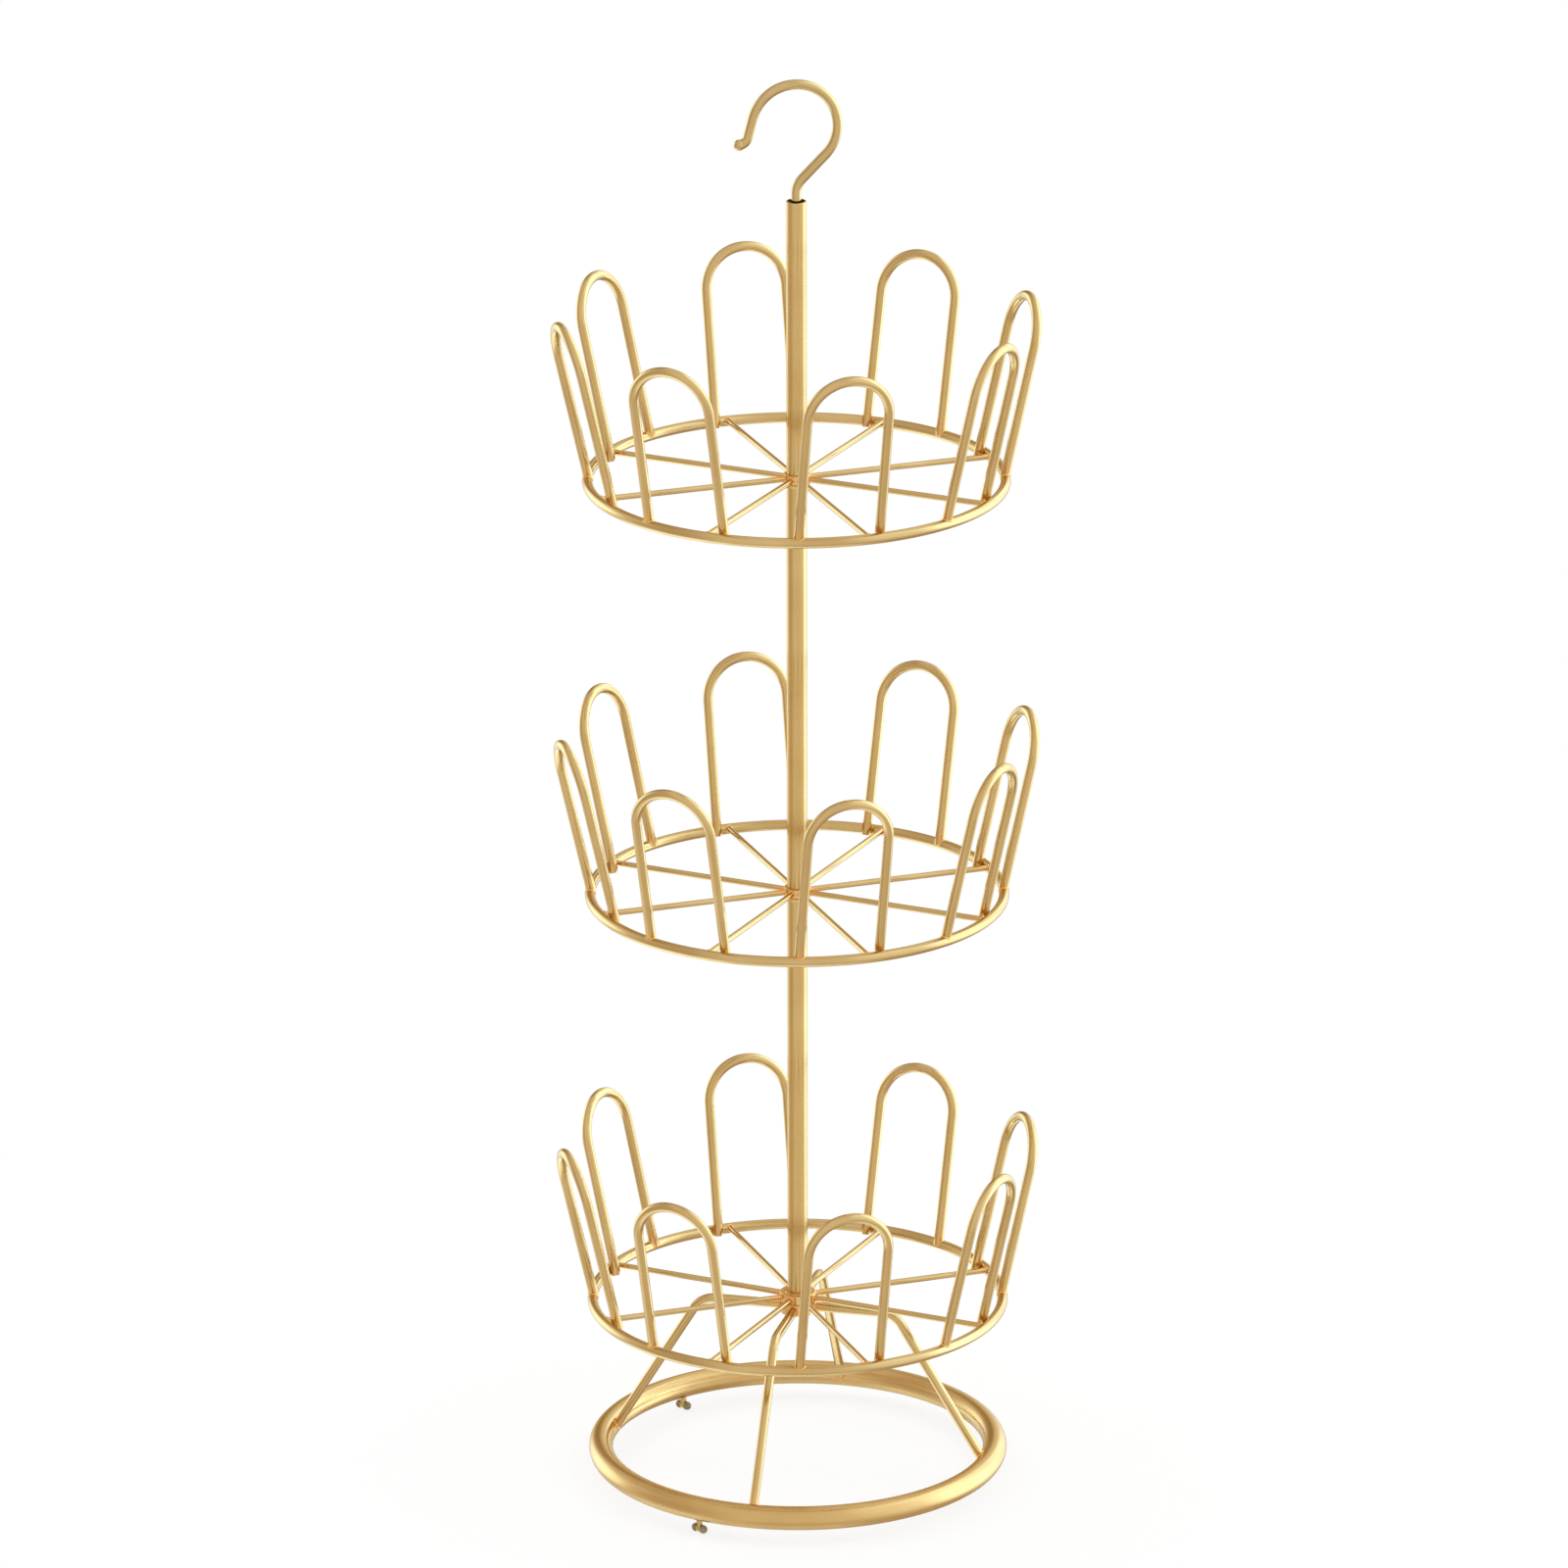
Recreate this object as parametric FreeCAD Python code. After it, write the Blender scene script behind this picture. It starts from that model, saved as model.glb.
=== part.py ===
import FreeCAD, Part
import math
import os

from FreeCAD import Placement, Rotation, Vector

# Rotating shoe tower: three wire trays that turn freely on a tubular pole, which stands on a
# ring base and ends in a hook. Millimetres. The pole is the Z axis, +Z is up, and the floor is
# at z = 0. The hook lies in the XZ plane, and at rest each tray has a loop over the +X axis.

# ---- Driving dimensions: the whole tower -----------------------------------------------------
lower_tray_height = 127.0        # ring plane of the lower tray above the floor
tier_spacing = 297.0             # ring plane to ring plane
pole_above_upper_tray = 196.5    # pole's top end above the upper tray's ring plane
tray_names = ("lower", "middle", "upper")

# ---- Trays ----------------------------------------------------------------------------------
tray_ring_radius = 142.0         # to the centre of the ring's wire
tray_ring_wire = 7.2
loops_per_tray = 8
loop_wire = 6.8
loop_width = 56.9                # between the centres of a loop's two legs
loop_height = 121.1              # along the slope, ring plane to the centre of the arch's wire
loop_lean = 13.0                 # degrees outwards from upright
loop_twist = 5.0                 # degrees about its own upright, which takes one leg inside the ring
loop_bite = 0.9                  # the inner leg is notched this deep onto the ring
loop_foot_drop = 2.0             # the inner leg ends this far below the ring plane
spokes_per_tray = 8
spoke_wire = 4.0
spoke_turn = 7.8                 # degrees from a loop's middle to the next spoke
spoke_rise = 1.1                 # the spokes' centres lie this far above the ring plane
tray_hub_wall = 1.925
lower_hub_wall = 3.425           # the lower hub turns on the base's spigot, not on the pole
tray_hub_height = 6.3
hub_below_spokes = 1.1           # the hub reaches this far below its spokes

# ---- Pole -----------------------------------------------------------------------------------
pole_diameter = 14.0
pole_wall = 1.0
pole_end_chamfer = 0.3
joint_flange_thickness = 1.5
joint_spigot_length = 16.0
joint_spigot_chamfer = 1.0
hook_plug_length = 14.0
hook_plug_recess = 3.0           # the plug's top lies this far down the open end of the pole
end_plug_length = 14.0

# ---- Base -----------------------------------------------------------------------------------
base_ring_radius = 137.0         # to the centre of the ring's tube
base_ring_tube = 16.5
base_ring_wall = 1.5
legs_per_base = 4
leg_wire = 6.5
leg_turn = 64.3                  # degrees from +X to the first leg
leg_shoulder_radius = 69.0       # where the flat run of a leg would meet its slope
leg_bend_radius = 18.0
leg_foot_inset = 5.0             # a leg meets the ring this far inside its tube's centre
hub_above_legs = 0.3             # the base hub's shoulder stands this far above its legs
hub_below_legs = 0.9
spigot_wall = 1.95               # of the spigot that the lower tray turns on
spigot_above_hub = 0.3
hub_web_thickness = 2.0
screw_pocket_diameter = 14.0
screw_diameter = 6.0
screw_length = 12.0
screw_head_diameter = 11.0
screw_head_height = 3.3
screw_head_rim = 1.15            # the straight edge of the head, below its seat
screw_crown_diameter = 6.05
screw_head_recess = 0.6          # the head lies this far inside the hub's underside
screw_socket_width = 4.0
screw_socket_depth = 2.0
screw_washer_diameter = 12.5
screw_washer_thickness = 1.2

# ---- Feet -----------------------------------------------------------------------------------
foot_turns = (-8.9, 113.9, 228.3)  # degrees from +X to each foot
foot_bar_turn = -53.3            # degrees from +X to the way the feet's bars lie
foot_length = 12.6               # over both tips
foot_bar_diameter = 4.8
foot_tip_diameter = 5.8
foot_tip_length = 3.9
foot_tip_floor = 1.9             # rubber between the end of the bar and the end of its tip
foot_tip_flat = 0.3              # depth of the flat that the tips stand on
foot_to_ring_gap = 3.3
foot_stem_diameter = 4.4
foot_stem_in_tube = 3.0

# ---- Hook -----------------------------------------------------------------------------------
hook_wire = 6.8
hook_radius = 29.6               # to the centre of the wire
hook_centre_above_pole = 51.9
hook_centre_offset = -1.2        # from the pole's axis, along X
hook_shank_angle = 45.0          # slope of the run from the stem to the round part
hook_stem_bend_radius = 12.0
hook_arc_end = 165.0             # degrees, counted from +X, where the round part ends
hook_nose_length = 13.6
hook_tip_radius = 6.8
hook_tip_turn = 70.0
hook_ball_over_wire = 0.8        # the ball on the tip is this much thicker than the wire
hook_stem_in_plug = 12.0

# ---- Fits -----------------------------------------------------------------------------------
running_clearance = 0.075        # radial, between a turning hub and what it turns on
plug_clearance = 0.05            # radial, between a plug or stem and its hole
washer_clearance = 0.15          # radial, between a bearing washer and the pole
bearing_washer_thickness = 0.8
edge_break = 0.4

# ---- Sizes that follow ----------------------------------------------------------------------
pole_radius = pole_diameter / 2
pole_bore_radius = pole_radius - pole_wall
foot_axis = foot_tip_diameter / 2 - foot_tip_flat
base_ring_height = foot_axis + foot_tip_diameter / 2 + foot_to_ring_gap + base_ring_tube / 2
tray_planes = [lower_tray_height + tier * tier_spacing for tier in range(len(tray_names))]
pole_top = tray_planes[-1] + pole_above_upper_tray
hub_drop = spoke_wire / 2 - spoke_rise + hub_below_spokes
washer_drop = hub_drop + bearing_washer_thickness
flange_drop = washer_drop + joint_flange_thickness
hub_rise = tray_hub_height - hub_drop
tray_hub_diameter = pole_diameter + 2 * (running_clearance + tray_hub_wall)

base_hub_top = lower_tray_height - washer_drop
leg_plane = base_hub_top - hub_above_legs - leg_wire / 2
base_hub_bottom = leg_plane - leg_wire / 2 - hub_below_legs
spigot_bore_radius = pole_radius + plug_clearance
spigot_radius = spigot_bore_radius + spigot_wall
spigot_top = lower_tray_height + hub_rise + spigot_above_hub
lower_hub_diameter = 2 * (spigot_radius + running_clearance + lower_hub_wall)
screw_seat = base_hub_bottom + screw_head_recess + screw_head_height
screw_pocket_top = screw_seat + screw_washer_thickness
pole_bottom = screw_pocket_top + hub_web_thickness

X, Y, Z = Vector(1, 0, 0), Vector(0, 1, 0), Vector(0, 0, 1)


def at_height(z):
    return Vector(0, 0, z)


def turned(shape, degrees):
    """A copy of the shape, turned about the pole."""
    copy = shape.copy()
    copy.Placement = Placement(Vector(), Rotation(Z, degrees)).multiply(copy.Placement)
    return copy


def lifted(shape, height):
    copy = shape.copy()
    copy.translate(at_height(height))
    return copy


def disc(diameter, height, bottom=0.0):
    return Part.makeCylinder(diameter / 2, height, at_height(bottom))


def ring(radius, wire, height=0.0):
    return Part.makeTorus(radius, wire / 2, at_height(height))


def revolved(outline):
    """A solid of revolution about Z from (radius, height) points."""
    points = [Vector(radius, 0, height) for radius, height in outline]
    face = Part.Face(Part.makePolygon(points + points[:1]))
    return face.revolve(Vector(), Z, 360)


def bent_wire(corners, bend_radii, diameter):
    """A round wire along straight runs, with a bend at each corner between the two ends."""
    edges = []
    start = corners[0]
    for before, corner, after, radius in zip(corners, corners[1:], corners[2:], bend_radii):
        back = (before - corner).normalize()
        on = (after - corner).normalize()
        half_angle = back.getAngle(on) / 2
        reach = radius / math.tan(half_angle)
        to_centre = (back + on).normalize()
        middle = corner + to_centre * (radius / math.sin(half_angle) - radius)
        bend_start = corner + back * reach
        bend_end = corner + on * reach
        edges.append(Part.LineSegment(start, bend_start).toShape())
        edges.append(Part.Arc(bend_start, middle, bend_end).toShape())
        start = bend_end
    edges.append(Part.LineSegment(start, corners[-1]).toShape())
    return swept(edges, diameter)


def swept(edges, diameter):
    """A round wire along a chain of tangent edges."""
    path = Part.Wire(edges)
    first = edges[0]
    direction = first.tangentAt(first.FirstParameter)
    section = Part.Wire(Part.makeCircle(diameter / 2, first.valueAt(first.FirstParameter), direction))
    return path.makePipe(Part.Face(section))


def one_solid(shape):
    """The single solid of a cut or a fuse, without the compound round it."""
    solids = sorted(shape.Solids, key=lambda solid: solid.Volume)
    return solids[-1]


# ---- Trays ----------------------------------------------------------------------------------
def tray_ring():
    """The tray's rim: a round wire bent into a ring and butt-welded."""
    return ring(tray_ring_radius, tray_ring_wire)


def tray_loop():
    """One shoe loop over +X: an upside-down U. Its twist sets one leg on the ring and takes the
    other down the ring's inside, and both are coped to the ring."""
    half = loop_width / 2
    lean, twist = math.radians(loop_lean), math.radians(loop_twist)
    slope = Vector(math.sin(lean), 0, math.cos(lean))
    left, right = Y * half, Y * -half
    shoulder = slope * (loop_height - half)
    edges = [
        Part.LineSegment(right, shoulder + right).toShape(),
        Part.Arc(shoulder + right, slope * loop_height, shoulder + left).toShape(),
        Part.LineSegment(shoulder + left, left - slope * loop_foot_drop).toShape(),
    ]
    inner_leg = tray_ring_radius - (tray_ring_wire + loop_wire) / 2 + loop_bite
    middle = half * math.sin(twist) + math.sqrt(inner_leg ** 2 - (half * math.cos(twist)) ** 2)
    loop = swept(edges, loop_wire)
    loop.Placement = Placement(X * middle, Rotation(Z, loop_twist)).multiply(loop.Placement)
    return one_solid(loop.cut(tray_ring()))


def tray_spokes(hub_diameter):
    """Straight rods from the hub to the inside of the ring, each a solid of its own."""
    rod = Part.makeCylinder(spoke_wire / 2, tray_ring_radius, at_height(spoke_rise), X)
    rod = rod.cut(disc(hub_diameter, 4 * spoke_wire, -2 * spoke_wire)).cut(tray_ring())
    rod = one_solid(rod)
    step = 360 / spokes_per_tray
    return Part.makeCompound([turned(rod, spoke_turn + step * n) for n in range(spokes_per_tray)])


def tray_hub(diameter, bearing_radius):
    """The sleeve that the spokes are welded to. It turns on the pole or on the base's spigot."""
    body = disc(diameter, tray_hub_height, -hub_drop)
    body = body.makeChamfer(edge_break, [edge for edge in body.Edges if edge.Closed])
    bore = disc(2 * (bearing_radius + running_clearance), tray_hub_height, -hub_drop)
    return one_solid(body.cut(bore))


def bearing_washer(diameter, inner_radius):
    """A slippery washer between a tray's hub and the flange or hub that carries it."""
    body = disc(diameter, bearing_washer_thickness, -washer_drop)
    bore = disc(2 * (inner_radius + washer_clearance), bearing_washer_thickness, -washer_drop)
    return one_solid(body.cut(bore))


def save_tray(name, plane, hub_diameter, bearing_radius):
    save(f"{name}_tray_ring", lifted(tray_ring(), plane))
    save(f"{name}_tray_hub", lifted(tray_hub(hub_diameter, bearing_radius), plane))
    save(f"{name}_tray_spokes", lifted(tray_spokes(hub_diameter), plane))
    save(f"{name}_bearing_washer", lifted(bearing_washer(hub_diameter, bearing_radius), plane))
    loop = lifted(tray_loop(), plane)
    for n in range(loops_per_tray):
        save(f"{name}_tray_loop_{n + 1}", turned(loop, 360 / loops_per_tray * n))


# ---- Pole -----------------------------------------------------------------------------------
def pole_section(bottom, top):
    """One length of the pole's tube, with its outer edges broken."""
    body = disc(pole_diameter, top - bottom, bottom)
    body = body.makeChamfer(pole_end_chamfer, [edge for edge in body.Edges if edge.Closed])
    bore = disc(2 * pole_bore_radius, top - bottom, bottom)
    return one_solid(body.cut(bore))


def pole_joint(plane):
    """Joins two lengths of the pole and carries the tray above on its flange."""
    flange_bottom = plane - flange_drop
    flange_top = plane - washer_drop
    flange = tray_hub_diameter / 2
    spigot = pole_bore_radius - plug_clearance
    tip = spigot - joint_spigot_chamfer
    low, high = flange_bottom - joint_spigot_length, flange_top + joint_spigot_length
    return revolved([
        (0, low), (tip, low), (spigot, low + joint_spigot_chamfer), (spigot, flange_bottom),
        (flange, flange_bottom), (flange, flange_top), (spigot, flange_top),
        (spigot, high - joint_spigot_chamfer), (tip, high), (0, high),
    ])


def plug(bottom, length, hole_radius):
    """A round plug inside the pole, with a hole down its middle."""
    outer = pole_bore_radius - plug_clearance
    return revolved([
        (hole_radius, bottom), (outer - edge_break, bottom), (outer, bottom + edge_break),
        (outer, bottom + length), (hole_radius, bottom + length),
    ])


def save_pole():
    ends = [pole_bottom]
    for plane in tray_planes[1:]:
        ends += [plane - flange_drop, plane - washer_drop]
    ends.append(pole_top)
    for name, bottom, top in zip(tray_names, ends[0::2], ends[1::2]):
        save(f"pole_{name}_section", pole_section(bottom, top))
    for name, plane in zip(tray_names[1:], tray_planes[1:]):
        save(f"pole_joint_{name}", pole_joint(plane))
    save("pole_end_plug", plug(pole_bottom, end_plug_length, screw_diameter / 2 + plug_clearance))
    plug_bottom = pole_top - hook_plug_recess - hook_plug_length
    save("hook_plug", plug(plug_bottom, hook_plug_length, hook_wire / 2 + plug_clearance))


# ---- Hook -----------------------------------------------------------------------------------
def hook():
    """A hook of round wire over the pole's axis. Its stem stands in the plug, its tip turns out."""
    centre = Vector(hook_centre_offset, 0, pole_top + hook_centre_above_pole)
    slope = math.radians(hook_shank_angle)
    arc_end = math.radians(hook_arc_end)

    def on_arc(angle):
        return centre + Vector(math.cos(angle), 0, math.sin(angle)) * hook_radius

    shank_end = on_arc(slope - math.pi / 2)
    corner = at_height(shank_end.z - shank_end.x * math.tan(slope))
    stem_end = at_height(pole_top - hook_plug_recess - hook_stem_in_plug)
    half_turn = (math.pi / 2 - slope) / 2
    reach = hook_stem_bend_radius * math.tan(half_turn)
    along_shank = Vector(math.cos(slope), 0, math.sin(slope))
    bend_start, bend_end = corner - Z * reach, corner + along_shank * reach
    bend_centre = bend_start + X * hook_stem_bend_radius
    to_middle = Vector(-math.cos(half_turn), 0, math.sin(half_turn))
    bend_middle = bend_centre + to_middle * hook_stem_bend_radius

    nose_start = on_arc(arc_end)
    nose_way = Vector(-math.sin(arc_end), 0, math.cos(arc_end))
    nose_end = nose_start + nose_way * hook_nose_length
    tip_turn = math.radians(hook_tip_turn)
    outwards = Vector(math.cos(arc_end), 0, math.sin(arc_end))
    tip_centre = nose_end + outwards * hook_tip_radius

    def on_tip(angle):
        return tip_centre + (nose_way * math.sin(angle) - outwards * math.cos(angle)) * hook_tip_radius

    edges = [
        Part.LineSegment(stem_end, bend_start).toShape(),
        Part.Arc(bend_start, bend_middle, bend_end).toShape(),
        Part.LineSegment(bend_end, shank_end).toShape(),
        Part.Arc(shank_end, on_arc(math.pi / 3), nose_start).toShape(),
        Part.LineSegment(nose_start, nose_end).toShape(),
        Part.Arc(nose_end, on_tip(tip_turn / 2), on_tip(tip_turn)).toShape(),
    ]
    ball = Part.makeSphere((hook_wire + hook_ball_over_wire) / 2, on_tip(tip_turn))
    return one_solid(swept(edges, hook_wire).fuse(ball))


# ---- Base -----------------------------------------------------------------------------------
def foot_places():
    """Where each foot stands, straight below the centre of the ring's tube."""
    angles = [math.radians(turn) for turn in foot_turns]
    return [Vector(math.cos(angle), math.sin(angle), 0) * base_ring_radius for angle in angles]


def base_ring():
    """The heavy ring that the tower stands on: a bent tube, drilled below for the feet's stems."""
    body = ring(base_ring_radius, base_ring_tube, base_ring_height)
    body = body.cut(ring(base_ring_radius, base_ring_tube - 2 * base_ring_wall, base_ring_height))
    drill = Part.makeCylinder(foot_stem_diameter / 2 + plug_clearance, base_ring_height)
    for place in foot_places():
        hole = drill.copy()
        hole.translate(place)
        body = body.cut(hole)
    return one_solid(body)


def lying(shape, place):
    """A part made round Z from its middle, laid down along the feet's bars at one foot."""
    lay = Rotation(Z, foot_bar_turn).multiply(Rotation(Y, 90))
    copy = shape.copy()
    copy.Placement = Placement(place + at_height(foot_axis), lay).multiply(copy.Placement)
    return copy


def foot_bar(place):
    """A short bar under the ring, with a stem up into the ring's tube."""
    half = foot_length / 2 - foot_tip_floor
    bar = lying(Part.makeCylinder(foot_bar_diameter / 2, 2 * half, at_height(-half)), place)
    stem_top = base_ring_height - base_ring_tube / 2 + base_ring_wall + foot_stem_in_tube
    stem = Part.makeCylinder(foot_stem_diameter / 2, stem_top - foot_axis, place + at_height(foot_axis))
    return one_solid(bar.fuse(stem))


def foot_tip():
    """A round-ended rubber cap for the upper end of a bar made round Z from its middle. Laid
    down, its underside is flat, which is what the tower stands on."""
    bar, outer = foot_bar_diameter / 2, foot_tip_diameter / 2
    end, mouth = foot_length / 2, foot_length / 2 - foot_tip_length
    bar_end = end - foot_tip_floor
    dome_centre = at_height(end - outer)
    dome_start = dome_centre + X * outer
    dome_middle = dome_centre + (X + Z).normalize() * outer
    outline = [
        Part.LineSegment(Vector(0, 0, bar_end), Vector(bar, 0, bar_end)).toShape(),
        Part.LineSegment(Vector(bar, 0, bar_end), Vector(bar, 0, mouth)).toShape(),
        Part.LineSegment(Vector(bar, 0, mouth), Vector(outer, 0, mouth)).toShape(),
        Part.LineSegment(Vector(outer, 0, mouth), dome_start).toShape(),
        Part.Arc(dome_start, dome_middle, at_height(end)).toShape(),
        Part.LineSegment(at_height(end), Vector(0, 0, bar_end)).toShape(),
    ]
    tip = Part.Face(Part.Wire(outline)).revolve(Vector(), Z, 360)
    below_floor = Part.makeBox(outer, foot_tip_diameter, end, Vector(foot_axis, -outer, 0))
    return one_solid(tip.cut(below_floor))


def base_leg():
    """One leg over +X: flat from the hub, then down and out onto the ring, coped at both ends."""
    corners = [
        at_height(leg_plane),
        Vector(leg_shoulder_radius, 0, leg_plane),
        Vector(base_ring_radius - leg_foot_inset, 0, base_ring_height),
    ]
    leg = bent_wire(corners, [leg_bend_radius], leg_wire)
    leg = leg.cut(disc(lower_hub_diameter, leg_plane, base_hub_bottom))
    return one_solid(leg.cut(ring(base_ring_radius, base_ring_tube, base_ring_height)))


def base_hub():
    """The turned hub of the base: legs are welded round it, the lower tray turns on its spigot,
    the pole stands in its bore, and a pocket below takes the head of the pole's screw."""
    body, spigot, bore = lower_hub_diameter / 2, spigot_radius, spigot_bore_radius
    pocket, hole = screw_pocket_diameter / 2, screw_diameter / 2 + plug_clearance
    return revolved([
        (pocket, base_hub_bottom), (body - edge_break, base_hub_bottom),
        (body, base_hub_bottom + edge_break), (body, base_hub_top), (spigot, base_hub_top),
        (spigot, spigot_top - edge_break), (spigot - edge_break, spigot_top), (bore, spigot_top),
        (bore, pole_bottom), (hole, pole_bottom), (hole, screw_pocket_top),
        (pocket, screw_pocket_top),
    ])


def base_screw_washer():
    body = disc(screw_washer_diameter, screw_washer_thickness, screw_seat)
    hole = disc(screw_diameter + 2 * plug_clearance, screw_washer_thickness, screw_seat)
    return one_solid(body.cut(hole))


def base_screw():
    """A button-head screw up through the hub's web into the plug in the pole, with a hex socket."""
    head, crown, shank = screw_head_diameter / 2, screw_crown_diameter / 2, screw_diameter / 2
    head_bottom, tip = screw_seat - screw_head_height, screw_seat + screw_length
    body = revolved([
        (0, head_bottom), (crown, head_bottom), (head, screw_seat - screw_head_rim),
        (head, screw_seat), (shank, screw_seat), (shank, tip - edge_break),
        (shank - edge_break, tip), (0, tip),
    ])
    corner = at_height(head_bottom) + X * (screw_socket_width / math.sqrt(3))
    corners = [Rotation(Z, 60 * n).multVec(corner) for n in range(6)]
    socket = Part.Face(Part.makePolygon(corners + corners[:1])).extrude(Z * screw_socket_depth)
    return one_solid(body.cut(socket))


def save_base():
    save("base_ring", base_ring())
    save("base_hub", base_hub())
    leg = base_leg()
    for n in range(legs_per_base):
        save(f"base_leg_{n + 1}", turned(leg, leg_turn + 360 / legs_per_base * n))
    tip = foot_tip()
    other_tip = tip.copy()
    other_tip.rotate(Vector(), X, 180)
    for n, place in enumerate(foot_places()):
        save(f"base_foot_{n + 1}", foot_bar(place))
    tips = [lying(end, place) for place in foot_places() for end in (tip, other_tip)]
    save("base_foot_tips", Part.makeCompound(tips))
    save("base_screw", base_screw())
    save("base_screw_washer", base_screw_washer())


def save(node, shape):
    shape.exportStep(f"parts/{node}.step")


os.makedirs("parts", exist_ok=True)
save_base()
save_pole()
save("hook", hook())
for tray, plane in zip(tray_names, tray_planes):
    on_spigot = tray == tray_names[0]
    save_tray(
        tray, plane,
        lower_hub_diameter if on_spigot else tray_hub_diameter,
        spigot_radius if on_spigot else pole_radius,
    )
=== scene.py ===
import math

import bmesh
import bpy
from mathutils import Matrix, Vector


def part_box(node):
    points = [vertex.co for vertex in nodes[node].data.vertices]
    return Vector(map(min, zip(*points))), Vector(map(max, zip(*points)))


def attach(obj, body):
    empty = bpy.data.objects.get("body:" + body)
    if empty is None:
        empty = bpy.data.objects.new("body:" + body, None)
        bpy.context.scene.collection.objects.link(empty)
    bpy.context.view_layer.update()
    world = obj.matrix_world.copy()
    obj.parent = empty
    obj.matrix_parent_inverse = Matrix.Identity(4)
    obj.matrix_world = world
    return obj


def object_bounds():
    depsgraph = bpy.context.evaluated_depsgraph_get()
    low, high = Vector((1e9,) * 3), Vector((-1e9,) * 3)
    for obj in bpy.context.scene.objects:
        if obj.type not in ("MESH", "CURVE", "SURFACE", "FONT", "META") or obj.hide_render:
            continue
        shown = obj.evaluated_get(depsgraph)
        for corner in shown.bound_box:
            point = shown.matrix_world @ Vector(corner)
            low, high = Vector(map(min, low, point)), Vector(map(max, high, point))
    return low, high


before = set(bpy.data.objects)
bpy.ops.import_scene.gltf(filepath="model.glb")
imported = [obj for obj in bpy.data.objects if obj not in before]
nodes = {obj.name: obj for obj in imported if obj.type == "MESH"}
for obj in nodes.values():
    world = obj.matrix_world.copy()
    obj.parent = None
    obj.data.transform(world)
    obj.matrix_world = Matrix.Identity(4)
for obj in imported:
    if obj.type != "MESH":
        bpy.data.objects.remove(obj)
cad_low, cad_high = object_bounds()


# Base ring: a heavy ring bent from steel tube, its ends butted and ground flush, then plated a
# satin gold with all that is welded to it. Bending and polishing leave faint lines round the ring
# and slow clouds in the plate.
TUBE_GOLD = ((0.572, 0.360, 0.132, 1.0), (0.655, 0.430, 0.174, 1.0))
TUBE_ROUGHNESS = (0.21, 0.27)
TUBE_LINES = 300.0
TUBE_RELIEF = 1.2e-7
GOLD_EDGE = (0.90, 0.87, 0.80, 1.0)
PLATE_CLOUDS = 18.0
PLATE_RELIEF = 5e-7
SKIN_GRAINS = 900.0
SKIN_PITS = 260.0
PIT_SIZE = 0.14
PATCHES_PER_CLOUD = 7.0
NOISE_ROUGHNESS = 0.55
NOISE_RANGE = (0.3, 0.7)
LINE_SHRINK = 0.02
ALONG_AXIS = 0.0
ROUND_AXIS = 1.0


def add_node(tree, kind, inputs=(), **settings):
    """A node of one kind, its settings made and its inputs set or joined to other sockets."""
    node = tree.nodes.new(kind)
    for name, value in settings.items():
        setattr(node, name, value)
    for name, value in dict(inputs).items():
        if isinstance(value, bpy.types.NodeSocket):
            tree.links.new(value, node.inputs[name])
        else:
            node.inputs[name].default_value = value
    return node


def new_group(name, inputs, outputs):
    """An empty shader group with its inputs and outputs, and its two end nodes."""
    group = bpy.data.node_groups.new(name, "ShaderNodeTree")
    for socket, kind, value in inputs:
        made = group.interface.new_socket(socket, in_out="INPUT", socket_type="NodeSocket" + kind)
        if value is not None:
            made.default_value = value
    for socket, kind in outputs:
        group.interface.new_socket(socket, in_out="OUTPUT", socket_type="NodeSocket" + kind)
    return group, group.nodes.new("NodeGroupInput").outputs, group.nodes.new("NodeGroupOutput")


def between(tree, value, low, high, from_low=0.0, from_high=1.0):
    """A value laid out between two others."""
    return add_node(tree, "ShaderNodeMapRange", {
        "Value": value,
        "From Min": from_low,
        "From Max": from_high,
        "To Min": low,
        "To Max": high,
    }).outputs["Result"]


def reckon(tree, operation, first, second=0.0):
    """One sum in a node."""
    return add_node(tree, "ShaderNodeMath", {0: first, 1: second}, operation=operation).outputs[0]


def blend_colours(tree, mask, low, high):
    """The colour between two, by a mask."""
    return add_node(tree, "ShaderNodeMix", {0: mask, 6: low, 7: high}, data_type="RGBA").outputs[2]


def noise(tree, vector, scale, detail):
    """Noise spread out over the whole range from 0 to 1."""
    made = add_node(tree, "ShaderNodeTexNoise", {
        "Vector": vector, "Scale": scale, "Detail": detail, "Roughness": NOISE_ROUGHNESS,
    })
    return between(tree, made.outputs["Fac"], 0.0, 1.0, *NOISE_RANGE)


def make_skin():
    """The skin of a plated or moulded piece: slow clouds, quick patches, fine grain and pits."""
    group, given, result = new_group(
        "skin",
        [("Vector", "Vector", None), ("Clouds per metre", "Float", PLATE_CLOUDS),
         ("Grains per metre", "Float", SKIN_GRAINS), ("Pits per metre", "Float", SKIN_PITS)],
        [("Clouds", "Float"), ("Patches", "Float"), ("Height", "Float")],
    )
    quick = reckon(group, "MULTIPLY", given["Clouds per metre"], PATCHES_PER_CLOUD)
    clouds = noise(group, given["Vector"], given["Clouds per metre"], 3.0)
    patches = noise(group, given["Vector"], quick, 2.0)
    grain = noise(group, given["Vector"], given["Grains per metre"], 1.0)
    pits = add_node(group, "ShaderNodeTexVoronoi", {
        "Vector": given["Vector"], "Scale": given["Pits per metre"],
    })
    depth = between(group, pits.outputs["Distance"], -1.0, 0.0, 0.0, PIT_SIZE)
    height = reckon(group, "ADD", grain, depth)
    for name, value in (("Clouds", clouds), ("Patches", patches), ("Height", height)):
        group.links.new(value, result.inputs[name])
    return group


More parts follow.
